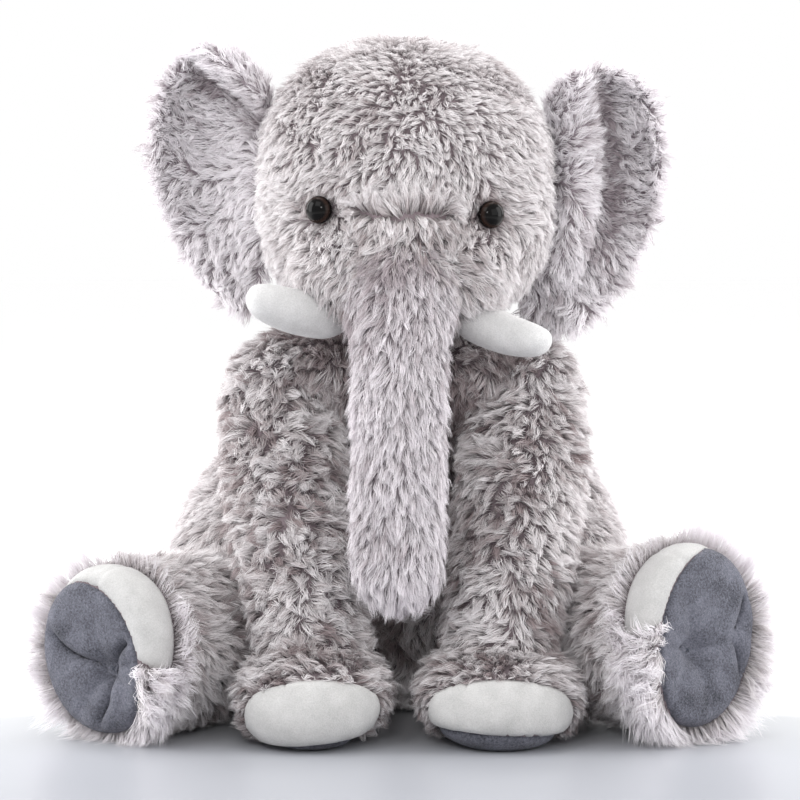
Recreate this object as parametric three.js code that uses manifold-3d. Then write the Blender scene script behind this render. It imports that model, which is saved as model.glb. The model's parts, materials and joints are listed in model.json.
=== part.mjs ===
// A seated plush elephant, as an assembly of sewn fabric skins, fibre stuffing, toe and sole panels,
// ear panels, felt tusks and safety eyes. Millimetres, +Z up, the face looks along -Y, and the
// elephant's own left side is +X. It sits on the plane Z = 0.

import * as THREE from "three";
import { mergeVertices } from "three/addons/utils/BufferGeometryUtils.js";
import Module from "manifold-3d";

const wasm = await Module();
wasm.setup();

// ---- Driving dimensions ----

const PLUSH = 7; // thickness of the plush fabric, backing and pressed pile
const SHORT_PILE = 3; // thickness of the short-pile white and grey fabrics
const GAP = 0.4; // clear space between pieces that touch
const SWING_GAP = 3; // clear space between a limb's round end and its pocket

// The whole toy is moved by this much, so that its box is centred on the origin.
const CENTRING = new THREE.Vector3(-0.4, -0.8, 0);

// Joint centres
const NECK = new THREE.Vector3(0, 8, 215);
const NECK_RADIUS = 60;
const TRUNK_ROOT = new THREE.Vector3(1, -108, 292);
const TRUNK_ROOT_RADIUS = 33;
const TRUNK_BEND = new THREE.Vector3(0, -132, 196);
const TRUNK_BEND_RADIUS = 29.5;
const SHOULDER_RADIUS = 40;
const HIP_RADIUS = 49;
const TAIL_ROOT = new THREE.Vector3(0, 140, 78);
const TAIL_ROOT_RADIUS = 10;

// What differs between the two sides of the toy as it sits
const SIDES = [
  {
    name: "right",
    sign: -1,
    shoulder: new THREE.Vector3(-77.5, -20, 215),
    footCentre: -55,
    footHalfWidth: 50,
    hip: new THREE.Vector3(-108, -12, 58),
    soleCentre: new THREE.Vector3(-190, -128, 58),
    soleHalfHeight: 56,
    tuskBase: new THREE.Vector3(-45, -92, 268),
    tuskTip: new THREE.Vector3(-94, -128, 277),
    earCentre: new THREE.Vector3(-124, -8, 352),
    earHalfHeight: 86,
    earRoll: 0,
  },
  {
    name: "left",
    sign: 1,
    shoulder: new THREE.Vector3(82.5, -20, 215),
    footCentre: 62,
    footHalfWidth: 53,
    hip: new THREE.Vector3(108, -12, 60),
    soleCentre: new THREE.Vector3(191, -128, 66),
    soleHalfHeight: 62,
    tuskBase: new THREE.Vector3(46, -92, 266),
    tuskTip: new THREE.Vector3(94, -128, 251),
    earCentre: new THREE.Vector3(132, -8, 344),
    earHalfHeight: 86,
    earRoll: 0.06,
  },
];

// Eyes
const EYE_RADIUS = 8.8;
const EYE_DOME_HEIGHT = 6.5;
const EYE_POST_RADIUS = 2.2;
const EYE_POST_LENGTH = 17;
const WASHER_RADIUS = 7;
const WASHER_THICKNESS = 2;
const WASHER_DEPTH = 11;

// Front feet
const FOOT_SOLE_THICKNESS = 4;
const FOOT_TOE_FRONT = -143; // the toe panel lies in front of this Y at mid height
const FOOT_TOE_TOP = 42;

// Hind feet
const HIND_SOLE_THICKNESS = 4;
const HIND_TOE_DEPTH = 30;
const DIMPLE_THREAD_RADIUS = 0.8;

// ---- Materials ----

const material = (color, roughness = 0.95, metalness = 0) =>
  new THREE.MeshStandardMaterial({ color, roughness, metalness });
const GREY_PLUSH = material(0xb9b0b4);
const PALE_PLUSH = material(0xc9c6ca);
const WHITE_FLEECE = material(0xdedfdd);
const SLATE_FLEECE = material(0x666a76);
const FIBRE = material(0xf2f2f0);
const BLACK_PLASTIC = material(0x0c0a0a, 0.08);
const WASHER_PLASTIC = material(0xe8e8e4, 0.5);
const THREAD = material(0x5b5e68);
const SATIN = material(0xf4f4f2, 0.6);

// ---- Solids ----

function solidOf(geometry) {
  const bare = geometry.clone();
  bare.deleteAttribute("normal");
  bare.deleteAttribute("uv");
  const merged = mergeVertices(bare, 1e-3);
  return new wasm.Manifold(
    new wasm.Mesh({
      numProp: 3,
      vertProperties: merged.attributes.position.array,
      triVerts: new Uint32Array(merged.index.array),
    }),
  );
}

function geometryOf(solid) {
  const { vertProperties, triVerts } = solid.getMesh();
  const geometry = new THREE.BufferGeometry();
  geometry.setAttribute("position", new THREE.BufferAttribute(vertProperties, 3));
  geometry.setIndex(new THREE.BufferAttribute(triVerts, 1));
  geometry.computeVertexNormals();
  return geometry;
}

const elephant = new THREE.Group();
elephant.position.copy(CENTRING);

function addPart(name, solid, finish) {
  const mesh = new THREE.Mesh(geometryOf(solid), finish);
  mesh.name = name;
  elephant.add(mesh);
}

function ball(centre, radius, around = 16) {
  const sphere = new THREE.SphereGeometry(radius, around, around / 2);
  sphere.translate(centre.x, centre.y, centre.z);
  return solidOf(sphere);
}

// A rod of one radius between two points
function rod(from, to, radius, around = 16) {
  const along = new THREE.Vector3().subVectors(to, from);
  const cylinder = new THREE.CylinderGeometry(radius, radius, along.length(), around);
  const turn = new THREE.Quaternion().setFromUnitVectors(
    new THREE.Vector3(0, 1, 0),
    along.clone().normalize(),
  );
  cylinder.applyQuaternion(turn);
  cylinder.translate(...new THREE.Vector3().addVectors(from, to).multiplyScalar(0.5));
  return solidOf(cylinder);
}

// Everything on the side of a plane that its normal points to
function halfSpace(point, normal, size = 600) {
  const box = new THREE.BoxGeometry(size, size, size);
  box.translate(0, 0, size / 2);
  box.applyQuaternion(
    new THREE.Quaternion().setFromUnitVectors(
      new THREE.Vector3(0, 0, 1),
      normal.clone().normalize(),
    ),
  );
  box.translate(point.x, point.y, point.z);
  return solidOf(box);
}

const WORLD = new THREE.Matrix4();

// A frame whose Z runs from one point towards another, with Y as near to "up" as it can be
function frameAlong(from, to, up = new THREE.Vector3(0, 0, 1)) {
  const z = new THREE.Vector3().subVectors(to, from).normalize();
  const x = new THREE.Vector3().crossVectors(up, z).normalize();
  const y = new THREE.Vector3().crossVectors(z, x);
  return new THREE.Matrix4().makeBasis(x, y, z).setPosition(from);
}

// A stuffed body: oval rings strung along the frame's Z. Each station is
// [height along Z, half width along X, half width along Y, centre X, centre Y]; the first and
// last are the two ends. A positive inset shrinks the body all round, a negative one grows it.
// A coarse body takes every second point round each ring, so it stays within a fine one.
function loft(stations, { frame = WORLD, around = 20, rows = 12, inset = 0 } = {}) {
  const last = stations.length - 1;
  const widths = new THREE.CatmullRomCurve3(
    stations.map(([z, a, b]) => new THREE.Vector3(a, b, z)),
    false,
    "centripetal",
  );
  const centres = new THREE.CatmullRomCurve3(
    stations.map(([z, , , x = 0, y = 0]) => new THREE.Vector3(x, y, z)),
    false,
    "centripetal",
  );
  const low = stations[0][0];
  const high = stations[last][0];
  const shrinkA = 1 - inset / Math.max(...stations.map((s) => s[1]));
  const shrinkB = 1 - inset / Math.max(...stations.map((s) => s[2]));
  const shrinkZ = 1 - (2 * inset) / (high - low);
  const coarse = inset > PLUSH || inset === SHORT_PILE + GAP;
  const geometry = new THREE.SphereGeometry(1, coarse ? around / 2 : around, rows);
  const position = geometry.attributes.position;
  const uv = geometry.attributes.uv;
  const spot = new THREE.Vector3();
  for (let i = 0; i < position.count; i++) {
    const row = Math.round((1 - uv.getY(i)) * rows);
    const end = row === 0 || row === rows;
    const turn = 2 * Math.PI * uv.getX(i);
    const share = 1 - row / rows;
    const width = widths.getPoint(share);
    const centre = centres.getPoint(share);
    const flat = end ? 0 : 1;
    spot.set(
      centre.x + flat * shrinkA * width.x * Math.cos(turn),
      centre.y + flat * shrinkB * width.y * Math.sin(turn),
      low + inset + (width.z - low) * shrinkZ,
    );
    spot.applyMatrix4(frame);
    position.setXYZ(i, spot.x, spot.y, spot.z);
  }
  return solidOf(geometry);
}

// ---- Head outline ----

const HEAD_STATIONS = [
  [256, 0, 0, 3, -50],
  [260, 40, 33, 3, -48],
  [272, 70, 55, 3, -46],
  [292, 87, 73, 4, -44],
  [320, 95, 83, 4, -41],
  [350, 96, 87, 4, -38],
  [382, 90, 84, 4, -35],
  [408, 78, 73, 4, -32],
  [428, 57, 54, 4, -30],
  [440, 30, 29, 4, -30],
  [443, 0, 0, 4, -30],
];
const head = (inset) => loft(HEAD_STATIONS, { around: 20, rows: 12, inset });

// ---- Torso ----

// The lowest stations lie below the floor plane, which cuts the seat flat.
const TORSO_STATIONS = [
  [-10, 70, 36, 0, 50],
  [-2, 104, 60, 0, 50],
  [8, 128, 73, 0, 50],
  [30, 149, 84, 0, 50],
  [65, 158, 87, 0, 50],
  [105, 156, 85, 0, 49],
  [140, 142, 75, 0, 51],
  [170, 117, 60, 0, 50],
  [196, 82, 56, 0, 35],
  [215, 62, 60, 0, 10],
  [235, 56.5, 56.5, 0, 8],
  [255, 44.7, 44.7, 0, 8],
  [270, 24, 24, 0, 8],
  [275, 0, 0, 0, 8],
];
const floor = (height) => halfSpace(new THREE.Vector3(0, 0, height), new THREE.Vector3(0, 0, 1));
const torso = (inset) =>
  loft(TORSO_STATIONS, { around: 20, rows: 14, inset }).intersect(floor(inset));

const pockets = (extra) => [
  ...SIDES.map(({ shoulder }) => ball(shoulder, SHOULDER_RADIUS + SWING_GAP + extra)),
  ...SIDES.map(({ hip }) => ball(hip, HIP_RADIUS + SWING_GAP + extra)),
  ball(TAIL_ROOT, TAIL_ROOT_RADIUS + SWING_GAP + extra, 8),
];
const cutAll = (solid, cutters) => cutters.reduce((left, cutter) => left.subtract(cutter), solid);

{
  const neckHole = rod(NECK, new THREE.Vector3(NECK.x, NECK.y, 300), 34, 12);
  const skin = cutAll(torso(0).subtract(torso(PLUSH)), [neckHole, ...pockets(0)]);
  addPart("torso_skin", skin, GREY_PLUSH);
  addPart("torso_stuffing", cutAll(torso(PLUSH + GAP), pockets(GAP)), FIBRE);

  // The sewn-in care label hangs from the back seam beside the tail.
  const label = new THREE.BoxGeometry(16, 1, 34);
  label.rotateX(-0.12);
  label.translate(52, 138.5, 62);
  addPart("care_label", solidOf(label), SATIN);
}

// ---- Head ----

const eyeFrames = [
  { name: "right", place: new THREE.Vector3(-50, 0, 334), outward: -0.42 },
  { name: "left", place: new THREE.Vector3(57, 0, 331), outward: 0.46 },
].map(({ name, place, outward }) => {
  const face = -40 - 85 * Math.sqrt(1 - ((place.x - 4) / 95) ** 2);
  const seat = new THREE.Vector3(place.x, face + 2, place.z);
  const out = new THREE.Vector3(Math.sin(outward), -Math.cos(outward), 0.02).normalize();
  return { name, seat, out };
});
const alongEye = ({ seat, out }, distance) => seat.clone().addScaledVector(out, distance);

{
  const neckPocket = ball(NECK, NECK_RADIUS + SWING_GAP + 1, 20);
  const trunkPocket = ball(TRUNK_ROOT, TRUNK_ROOT_RADIUS + SWING_GAP);
  const eyeCuts = eyeFrames.flatMap((eye) => [
    rod(alongEye(eye, 0), alongEye(eye, 30), EYE_RADIUS + GAP, 12),
    rod(alongEye(eye, -EYE_POST_LENGTH - 2), alongEye(eye, 1), EYE_POST_RADIUS + GAP, 8),
    rod(
      alongEye(eye, -WASHER_DEPTH - WASHER_THICKNESS - GAP),
      alongEye(eye, -WASHER_DEPTH + GAP),
      WASHER_RADIUS + GAP,
      10,
    ),
  ]);
  const cuts = [neckPocket, trunkPocket, ...eyeCuts];
  addPart("head_skin", cutAll(head(0).subtract(head(PLUSH)), cuts), GREY_PLUSH);
  addPart("head_stuffing", cutAll(head(PLUSH + GAP), cuts), FIBRE);

  for (const eye of eyeFrames) {
    const dome = [];
    for (let step = 0; step <= 4; step++) {
      const angle = (Math.PI / 2) * (step / 4);
      dome.push(
        new THREE.Vector2(EYE_RADIUS * Math.sin(angle), 1 + EYE_DOME_HEIGHT * Math.cos(angle)),
      );
    }
    const profile = [
      ...dome,
      new THREE.Vector2(EYE_RADIUS, GAP),
      new THREE.Vector2(EYE_POST_RADIUS, GAP),
      new THREE.Vector2(EYE_POST_RADIUS, -EYE_POST_LENGTH),
      new THREE.Vector2(0, -EYE_POST_LENGTH),
    ].reverse();
    profile[profile.length - 1].x = 0;
    const turn = new THREE.Quaternion().setFromUnitVectors(new THREE.Vector3(0, 1, 0), eye.out);
    const eyeball = new THREE.LatheGeometry(profile, 12);
    eyeball.applyQuaternion(turn);
    eyeball.translate(...eye.seat);
    addPart(`eye_${eye.name}`, solidOf(eyeball), BLACK_PLASTIC);

    const hole = EYE_POST_RADIUS + GAP;
    const ring = [
      [hole, 0],
      [WASHER_RADIUS, 0],
      [WASHER_RADIUS, WASHER_THICKNESS],
      [hole, WASHER_THICKNESS],
      [hole, 0],
    ].map(([x, y]) => new THREE.Vector2(x, y - WASHER_DEPTH - WASHER_THICKNESS));
    const washer = new THREE.LatheGeometry(ring, 10);
    washer.applyQuaternion(turn);
    washer.translate(...eye.seat);
    addPart(`eye_washer_${eye.name}`, solidOf(washer), WASHER_PLASTIC);
  }
}

// ---- Tusks ----

// A stuffed horn, 27 mm thick, that curves a little upwards to a blunt tip
const TUSK_RADIUS = 13.5;
for (const side of SIDES) {
  const length = side.tuskBase.distanceTo(side.tuskTip);
  const frame = frameAlong(side.tuskBase, side.tuskTip);
  const stations = [
    [-8, 0, 0, 0, 0],
    [-6, 10, 10, 0, 0],
    [4, TUSK_RADIUS, TUSK_RADIUS, 0, -1],
    [length * 0.4, TUSK_RADIUS - 1, TUSK_RADIUS - 0.5, 0, -3],
    [length * 0.7, 11, 11, 0, -2.5],
    [length * 0.9, 8, 8, 0, -1],
    [length * 0.98, 4, 4, 0, 0],
    [length, 0, 0, 0, 0],
  ];
  const horn = (inset) => loft(stations, { frame, around: 12, rows: 6, inset });
  const skin = horn(0).subtract(horn(SHORT_PILE)).subtract(head(-GAP));
  addPart(`tusk_${side.name}_skin`, skin, WHITE_FLEECE);
  const stuffing = horn(SHORT_PILE + GAP).subtract(head(-GAP));
  addPart(`tusk_${side.name}_stuffing`, stuffing, FIBRE);
}

// ---- Trunk ----

// The upper length ends in a round cup over the ball at the bend; the lower length carries the ball.
{
  const root = TRUNK_ROOT_RADIUS;
  const upperStations = [
    [TRUNK_BEND.z - 14, 29.5, 29.5, TRUNK_BEND.x, TRUNK_BEND.y],
    [TRUNK_BEND.z + 22, 30, 30, 0, -129],
    [250, 30, 29, 0, -125],
    [272, 31, 30, 1, -117],
    [TRUNK_ROOT.z, root, root, 1, TRUNK_ROOT.y],
    [TRUNK_ROOT.z + root * 0.5, root * 0.87, root * 0.87, 1, TRUNK_ROOT.y],
    [TRUNK_ROOT.z + root * 0.85, root * 0.5, root * 0.5, 1, TRUNK_ROOT.y],
    [TRUNK_ROOT.z + root, 0, 0, 1, TRUNK_ROOT.y],
  ];
  const upper = (inset) => loft(upperStations, { around: 12, rows: 7, inset });
  const ballRoom = ball(TRUNK_BEND, TRUNK_BEND_RADIUS + SWING_GAP);
  const rootOpening = rod(TRUNK_ROOT, new THREE.Vector3(1, -62, 300), 20);
  const below = halfSpace(new THREE.Vector3(0, 0, TRUNK_BEND.z + 8), new THREE.Vector3(0, 0, -1));
  const upperCuts = [ballRoom, below];
  const upperSkin = upper(0).subtract(upper(PLUSH)).subtract(rootOpening);
  addPart("trunk_upper_skin", cutAll(upperSkin, upperCuts), PALE_PLUSH);
  addPart("trunk_upper_stuffing", cutAll(upper(PLUSH + GAP), upperCuts), FIBRE);

  const bend = TRUNK_BEND_RADIUS;
  const lowerStations = [
    [87, 0, 0, -1, -136],
    [90, 12, 12, -1, -136],
    [99, 22, 21, -1, -136],
    [115, 28, 27, -1, -136],
    [150, 29, 28, -1, -135],
    [TRUNK_BEND.z - 8, bend - 0.6, bend - 0.6, 0, TRUNK_BEND.y],
    [TRUNK_BEND.z + bend * 0.3, bend * 0.95, bend * 0.95, 0, TRUNK_BEND.y],
    [TRUNK_BEND.z + bend * 0.75, bend * 0.66, bend * 0.66, 0, TRUNK_BEND.y],
    [TRUNK_BEND.z + bend * 0.95, bend * 0.3, bend * 0.3, 0, TRUNK_BEND.y],
    [TRUNK_BEND.z + bend, 0, 0, 0, TRUNK_BEND.y],
  ];
  const lower = (inset) => loft(lowerStations, { around: 12, rows: 8, inset });
  const bendOpening = rod(TRUNK_BEND, new THREE.Vector3(0, TRUNK_BEND.y, 260), 15);
  const lowerSkin = lower(0).subtract(lower(PLUSH)).subtract(bendOpening);
  addPart("trunk_lower_skin", lowerSkin, PALE_PLUSH);
  addPart("trunk_lower_stuffing", lower(PLUSH + GAP), FIBRE);
}

// ---- Ears ----

// Two fabric panels sewn face to face round the rim, cupped forwards and open to the front
const EAR_HALF_WIDTH = 37;
const EAR_PANEL = 4;
const EAR_CUP = 26;
function earPanel(side, layer) {
  const geometry = new THREE.SphereGeometry(1, 14, 6);
  const position = geometry.attributes.position;
  const roll = new THREE.Matrix4().makeRotationY(side.sign * side.earRoll);
  const spot = new THREE.Vector3();
  for (let i = 0; i < position.count; i++) {
    // The sphere's poles lie on the front and the back of the panel.
    const thick = position.getY(i);
    const wide = position.getX(i);
    const tall = position.getZ(i);
    const squarish = 1 + 0.1 * (1 - Math.abs(wide ** 2 - tall ** 2));
    const across = wide * squarish * EAR_HALF_WIDTH;
    const up = tall * squarish * side.earHalfHeight * (1 - 0.1 * wide);
    const cup = EAR_CUP * ((up / side.earHalfHeight) ** 2 * 0.45 + Math.max(wide, 0) ** 2 * 0.8);
    const depth = thick * (EAR_PANEL / 2) + layer * (EAR_PANEL / 2 + GAP / 2);
    spot.set(side.sign * across, depth - cup + 8, up);
    spot.applyMatrix4(roll).add(side.earCentre);
    position.setXYZ(i, spot.x, spot.y, spot.z);
  }
  if (side.sign < 0) {
    // Mirroring turns the faces round, so each triangle's order is turned back.
    const index = geometry.index;
    for (let i = 0; i < index.count; i += 3) {
      const first = index.getX(i);
      index.setX(i, index.getX(i + 1));
      index.setX(i + 1, first);
    }
  }
  return solidOf(geometry);
}
for (const side of SIDES) {
  const clearHead = head(-2.5);
  addPart(`ear_${side.name}_front_panel`, earPanel(side, -1).subtract(clearHead), PALE_PLUSH);
  addPart(`ear_${side.name}_back_panel`, earPanel(side, 1).subtract(clearHead), GREY_PLUSH);
}

// ---- Arms ----

// A stuffed column from the shoulder to a flat foot with a white toe panel and a slate sole
for (const side of SIDES) {
  const { name, sign, shoulder, footCentre, footHalfWidth } = side;
  const top = SHOULDER_RADIUS;
  const lean = (share) => shoulder.x + (footCentre - shoulder.x) * share;
  const columnStations = [
    [14, 0, 0, lean(1), -108],
    [18, 24, 24, lean(1), -107],
    [34, 35, 36, lean(0.97), -103],
    [62, 38, 38, lean(0.85), -97],
    [95, 40, 39, lean(0.6), -86],
    [130, 42, 40, lean(0.35), -70],
    [165, 42.5, 39.5, lean(0.15), -52],
    [190, 41.5, 39.5, lean(0.05), -36],
    [shoulder.z, top, top, shoulder.x, shoulder.y],
    [shoulder.z + top * 0.5, top * 0.87, top * 0.87, shoulder.x, shoulder.y],
    [shoulder.z + top * 0.86, top * 0.5, top * 0.5, shoulder.x, shoulder.y],
    [shoulder.z + top, 0, 0, shoulder.x, shoulder.y],
  ];
  const column = (inset) => loft(columnStations, { around: 14, rows: 10, inset });
  // The foot's rings are strung along the toe direction, so local Y is up.
  const heel = new THREE.Vector3(footCentre, -62, 0);
  const toeward = frameAlong(heel, new THREE.Vector3(footCentre, -160, 0));
  const footStations = [
    [0, 0, 0, 0, 32],
    [3, 22, 16, 0, 32],
    [14, footHalfWidth * 0.72, 28, 0, 31],
    [38, footHalfWidth * 0.96, 36, 0, 31],
    [64, footHalfWidth, 36, 0, 29],
    [88, footHalfWidth * 0.9, 31, 0, 26],
    [104, footHalfWidth * 0.62, 22, 0, 23],
    [112, footHalfWidth * 0.3, 11, 0, 21],
    [114, 0, 0, 0, 21],
  ];
  const foot = (inset) => loft(footStations, { frame: toeward, around: 14, rows: 8, inset });
  const hollow = column(PLUSH).add(foot(PLUSH));
  const limb = (inset) => column(inset).add(foot(inset)).intersect(floor(inset));

  const toePlane = (shift) =>
    halfSpace(
      new THREE.Vector3(0, FOOT_TOE_FRONT + shift, FOOT_TOE_TOP / 2),
      new THREE.Vector3(0, -1, -0.42),
    );
  const sole = floor(FOOT_SOLE_THICKNESS);
  const aboveSole = floor(FOOT_SOLE_THICKNESS + GAP);
  const towardsTorso = new THREE.Vector3(shoulder.x - sign * 60, shoulder.y + 20, shoulder.z);
  const armhole = rod(shoulder, towardsTorso, 26, 12);
  const shell = limb(0).subtract(hollow);
  const skin = shell.intersect(aboveSole).subtract(toePlane(GAP)).subtract(armhole);
  addPart(`arm_${name}_skin`, skin, GREY_PLUSH);
  addPart(`arm_${name}_stuffing`, limb(PLUSH + GAP), FIBRE);
  const toe = limb(0).subtract(limb(SHORT_PILE + 2)).intersect(aboveSole).intersect(toePlane(0));
  addPart(`arm_${name}_toe_panel`, toe, WHITE_FLEECE);
  addPart(`arm_${name}_sole`, limb(0).subtract(sole), SLATE_FLEECE);
}

// ---- Hind legs ----

// A short stuffed leg from the hip to a flat sole that faces forwards and outwards. The toe
// panel wraps its upper inner edge, and a thread pulls a dimple into the middle of the sole.
for (const side of SIDES) {
  const { name, sign, hip, soleCentre, soleHalfHeight } = side;
  const frame = frameAlong(hip, soleCentre);
  const reach = hip.distanceTo(soleCentre);
  const up = new THREE.Vector3(0, 1, 0).transformDirection(frame);
  const inward = new THREE.Vector3(-sign, 0, 0);
  const out = new THREE.Vector3(0, 0, 1).transformDirection(frame);
  const start = HIP_RADIUS;
  const stations = [
    [-start, 0, 0, 0, 0],
    [-start * 0.9, start * 0.43, start * 0.43, 0, 0],
    [-start * 0.55, start * 0.83, start * 0.83, 0, 0],
    [0, start, start, 0, 0],
    [start * 0.5, start * 0.88, start * 0.9, 0, 0],
    [reach * 0.55, 44, 47, 0, -1],
    [reach * 0.78, 49, soleHalfHeight - 3, 0, -1],
    [reach - 10, 49, soleHalfHeight, 0, 0],
    [reach - 2, 44, soleHalfHeight - 5, 0, 0],
    [reach, 38, soleHalfHeight - 10, 0, 0],
  ];
  const leg = (inset) => loft(stations, { frame, around: 16, rows: 10, inset });
  const alongLeg = (distance) => hip.clone().addScaledVector(out, distance);
  const beyond = (distance) => halfSpace(alongLeg(distance), out);
  const soleStart = reach - HIND_SOLE_THICKNESS;
  const toeSide = up.clone().addScaledVector(inward, 0.55).normalize();
  const toePlane = (shift) => halfSpace(alongLeg(reach).addScaledVector(toeSide, 22 + shift), toeSide);
  const toeBand = (shift) =>
    beyond(reach - HIND_TOE_DEPTH + shift).intersect(toePlane(shift));

  const stringHole = (extra) =>
    rod(alongLeg(20), alongLeg(reach + 2), DIMPLE_THREAD_RADIUS + extra, 8);
  const legHole = rod(hip, new THREE.Vector3(hip.x - sign * 60, hip.y + 50, hip.z), 30, 12);
  const shell = leg(0).subtract(leg(PLUSH)).subtract(beyond(soleStart - GAP));
  const soleHole = rod(alongLeg(reach - 14), alongLeg(reach + 2), 36, 16);
  const skin = cutAll(shell, [toeBand(-GAP), legHole, soleHole]);
  addPart(`leg_${name}_skin`, skin, GREY_PLUSH);
  addPart(`leg_${name}_stuffing`, leg(PLUSH + GAP).subtract(stringHole(GAP)), FIBRE);
  const toe = leg(0).subtract(leg(SHORT_PILE + 2)).subtract(beyond(soleStart - GAP));
  addPart(`leg_${name}_toe_panel`, toe.intersect(toeBand(0)), WHITE_FLEECE);
  const solePanel = leg(0).intersect(beyond(soleStart)).subtract(stringHole(GAP));
  addPart(`leg_${name}_sole`, solePanel, SLATE_FLEECE);
  addPart(`leg_${name}_dimple_thread`, rod(alongLeg(24), alongLeg(reach), DIMPLE_THREAD_RADIUS, 8), THREAD);
}

// ---- Tail ----

{
  const tip = new THREE.Vector3(0, 173, 32);
  const frame = frameAlong(TAIL_ROOT, tip);
  const length = TAIL_ROOT.distanceTo(tip);
  const r = TAIL_ROOT_RADIUS;
  const stations = [
    [-r, 0, 0],
    [-r * 0.6, r * 0.8, r * 0.8],
    [0, r, r],
    [r, r * 0.8, r * 0.8],
    [length * 0.6, r * 0.75, r * 0.75],
    [length * 0.68, 0, 0],
  ];
  const tail = (inset) => loft(stations, { frame, around: 10, rows: 6, inset });
  const tuftStations = [
    [length * 0.62, 0, 0],
    [length * 0.66, 8, 8],
    [length * 0.85, 11, 10],
    [length * 1.0, 6, 6],
    [length * 1.05, 0, 0],
  ];
  const tuft = loft(tuftStations, { frame, around: 10, rows: 6 });
  addPart("tail_skin", tail(0), GREY_PLUSH);
  addPart("tail_tuft", tuft.subtract(tail(-GAP)), PALE_PLUSH);
}

export default elephant;
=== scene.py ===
import json
import math

import bpy
import numpy as np
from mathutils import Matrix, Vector, kdtree


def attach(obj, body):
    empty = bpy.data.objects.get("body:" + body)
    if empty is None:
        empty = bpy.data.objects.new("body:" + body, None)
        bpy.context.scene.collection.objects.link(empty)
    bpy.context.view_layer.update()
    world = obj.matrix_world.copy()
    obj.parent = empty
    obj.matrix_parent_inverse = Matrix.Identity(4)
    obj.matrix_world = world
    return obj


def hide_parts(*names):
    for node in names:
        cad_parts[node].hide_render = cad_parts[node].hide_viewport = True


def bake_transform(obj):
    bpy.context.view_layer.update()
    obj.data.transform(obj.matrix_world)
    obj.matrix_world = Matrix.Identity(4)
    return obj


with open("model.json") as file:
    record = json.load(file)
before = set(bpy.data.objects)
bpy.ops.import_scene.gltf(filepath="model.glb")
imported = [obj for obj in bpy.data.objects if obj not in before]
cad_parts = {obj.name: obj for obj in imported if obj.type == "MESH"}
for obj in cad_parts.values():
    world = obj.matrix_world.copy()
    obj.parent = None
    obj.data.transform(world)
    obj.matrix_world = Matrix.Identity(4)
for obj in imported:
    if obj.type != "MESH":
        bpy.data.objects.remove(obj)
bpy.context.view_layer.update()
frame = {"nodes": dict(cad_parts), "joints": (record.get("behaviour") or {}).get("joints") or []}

MM = 0.001
JOINT = {j["name"]: np.array(j["pos_m"], float) for j in frame["joints"]}
# Shapes are drawn in mm from the design's centre, with the neck at NECK. SHIFT takes them to the row's frame.
NECK = np.array([0.0, 8.0, 215.0])
SHIFT = JOINT["head_tilt"] / MM - NECK

# ---- camera, light and floor

scene = bpy.context.scene
scene.view_settings.view_transform = "Standard"

camera = bpy.data.objects.new("camera", bpy.data.cameras.new("camera"))
scene.collection.objects.link(camera)
TARGET = Vector((0.0, 0.0, 0.2069))
RANGE = 2.1
TILT = math.radians(4)
SENSOR = 36
# The width in metres that the picture shows at the target.
VIEW_WIDTH = 0.5312
camera.location = TARGET + RANGE * Vector((0, -math.cos(TILT), math.sin(TILT)))
camera.rotation_euler = (TARGET - camera.location).to_track_quat("-Z", "Y").to_euler()
camera.data.sensor_width = SENSOR
camera.data.lens = SENSOR * RANGE / VIEW_WIDTH
camera.data.clip_start = 0.05
camera.data.clip_end = 50
scene.camera = camera


def area_light(name, place, size, power):
    """A soft white light at place, aimed at the middle of the toy."""
    data = bpy.data.lights.new(name, "AREA")
    data.shape = "RECTANGLE"
    data.size, data.size_y = size
    data.energy = power
    light = bpy.data.objects.new(name, data)
    scene.collection.objects.link(light)
    light.location = place
    aim = Vector((0, 0, 0.2)) - light.location
    light.rotation_euler = aim.to_track_quat("-Z", "Y").to_euler()


area_light("key", (-0.9, -1.5, 1.7), (1.2, 1.2), 11)
area_light("fill", (1.5, -1.5, 0.9), (1.4, 1.4), 8.5)
area_light("side_right", (-1.5, -0.25, 0.7), (0.8, 1.3), 18)
area_light("side_left", (1.5, -0.25, 0.7), (0.8, 1.3), 14)
area_light("rim_right", (-1.3, 0.9, 0.9), (0.7, 1.2), 16)
area_light("rim_left", (1.3, 0.9, 0.9), (0.7, 1.2), 16)
area_light("top", (0.0, 0.3, 1.9), (1.4, 1.0), 12)
area_light("catch", (-0.15, -1.9, 0.9), (0.26, 0.26), 5.5)

world = bpy.data.worlds.new("studio")
scene.world = world
world.use_nodes = True
sky = world.node_tree.nodes["Background"]
sky.inputs["Color"].default_value = (1, 1, 1, 1)
sky.inputs["Strength"].default_value = 1.0

# ---- materials


def srgb(r, g, b):
    """A colour given as 0 to 255 on screen, as the linear colour that nodes take."""

    def line(c):
        c = c / 255
        return c / 12.92 if c <= 0.04045 else ((c + 0.055) / 1.055) ** 2.4

    return (line(r), line(g), line(b), 1.0)


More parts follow.
